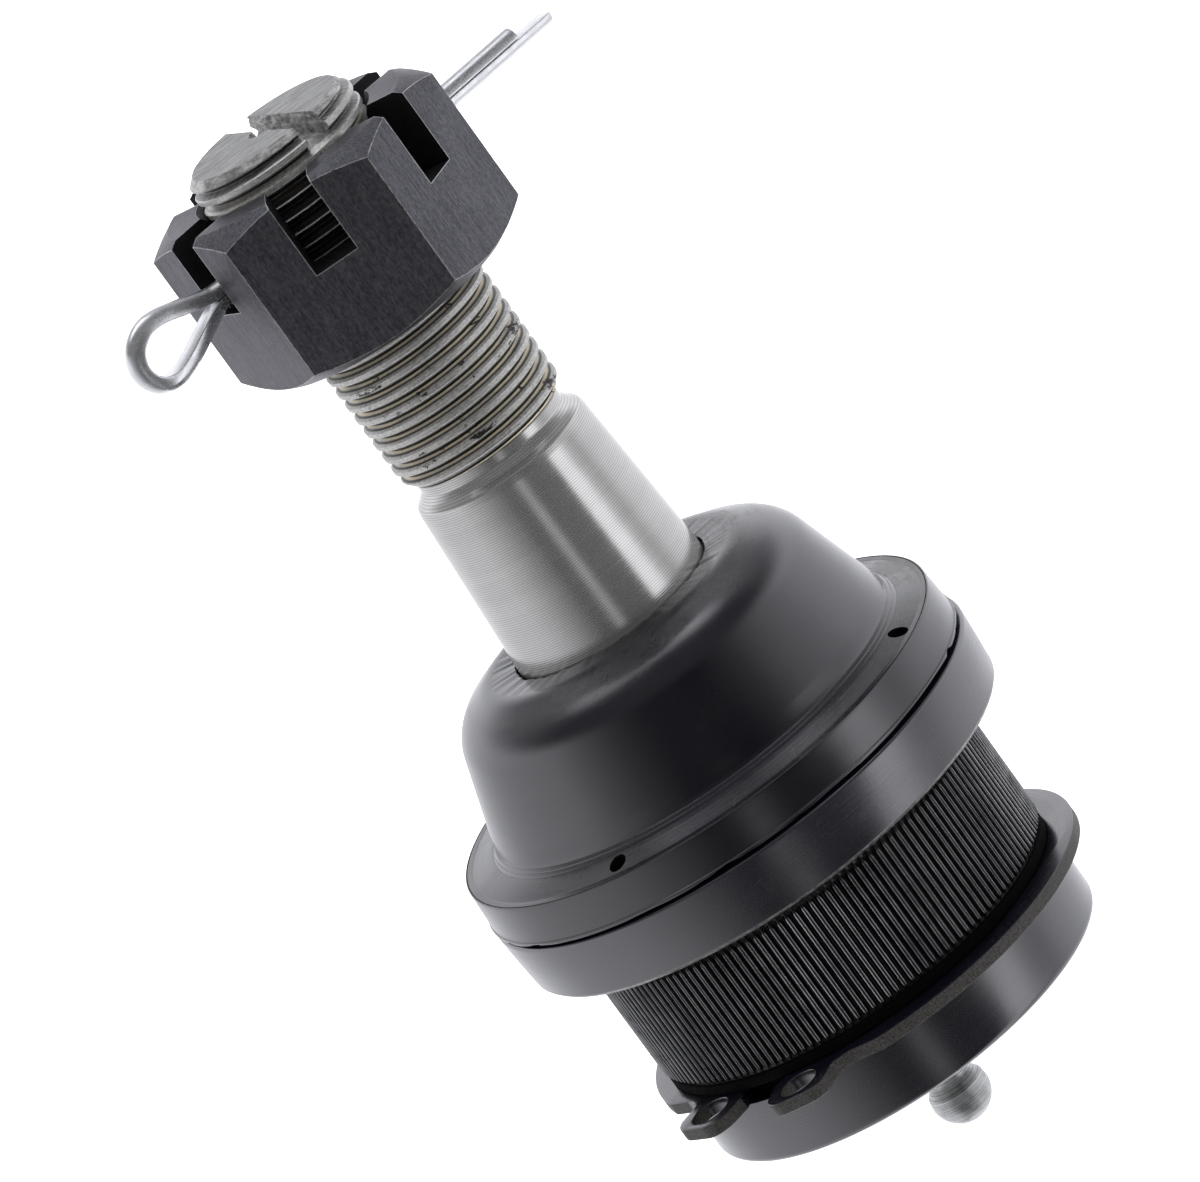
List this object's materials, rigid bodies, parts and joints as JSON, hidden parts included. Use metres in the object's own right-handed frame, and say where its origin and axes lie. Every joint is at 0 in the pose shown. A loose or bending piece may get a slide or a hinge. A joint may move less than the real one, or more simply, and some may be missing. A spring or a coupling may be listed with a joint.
{
  "type": "suspension ball joint",
  "caption": "Press-in suspension ball joint: knurled flanged body with snap ring and grease fitting, rubber dust boot, tapered threaded stud with slotted nut and split pin.",
  "frame": {"origin": "on the stud axis, in the plane of the flange's underside that seats on the knuckle", "axes": "+Z along the stud axis towards the nut; the picture looks along +Y and slightly down"},
  "size_m": [0.0578, 0.0566, 0.1251],
  "materials": {
    "body_coated": "satin black coated steel, worn bright on the knurl crests",
    "stud_steel": "ground bright steel",
    "bearing_sintered": "oiled sintered steel",
    "plate_sintered": "oiled sintered steel",
    "spring_steel": "blued spring steel",
    "cover_coated": "satin black coated steel",
    "fitting_zinc": "bright zinc plate",
    "ball_bright": "polished hardened steel",
    "boot_rubber": "semi-gloss moulded rubber",
    "ring_steel": "plain steel",
    "snap_black": "black phosphate with a bright worn edge",
    "nut_black": "black oxide, worn grey on the flats",
    "pin_zinc": "bright zinc-plated soft steel"
  },
  "bodies": {
    "housing": {"housing": "body_coated", "pressure_plate": "plate_sintered", "disc_spring": "spring_steel", "cover_plate": "cover_coated", "grease_fitting": "fitting_zinc", "check_spring": "spring_steel", "boot_base_ring": "ring_steel", "snap_ring": "snap_black"},
    "boot": {"dust_boot": "boot_rubber"},
    "swivel": {"half_ball_bearing": "bearing_sintered", "boot_neck_ring": "ring_steel"},
    "stud": {"ball_stud": "stud_steel", "castle_nut": "nut_black", "cotter_pin": "pin_zinc"},
    "check_ball": {"check_ball": "ball_bright"}
  },
  "joints": [
    {"name": "tilt_x", "type": "hinge", "parent": "housing", "child": "boot", "pos_m": [0, 0, -0.0029], "axis": [1, 0, 0], "range_deg": [-15, 15], "deforming": ["dust_boot"]},
    {"name": "tilt_y", "type": "hinge", "parent": "boot", "child": "swivel", "pos_m": [0, 0, -0.0029], "axis": [0, 1, 0], "range_deg": [-15, 15]},
    {"name": "stud_spin", "type": "hinge", "parent": "swivel", "child": "stud", "pos_m": [0, 0, -0.0029], "axis": [0, 0, 1], "continuous": true},
    {"name": "check_ball_slide", "type": "slide", "parent": "housing", "child": "check_ball", "axis": [0, 0, 1], "range_m": [0, 0.0008], "stiffness_N_per_m": 60, "deforming": ["check_spring"]}
  ]
}
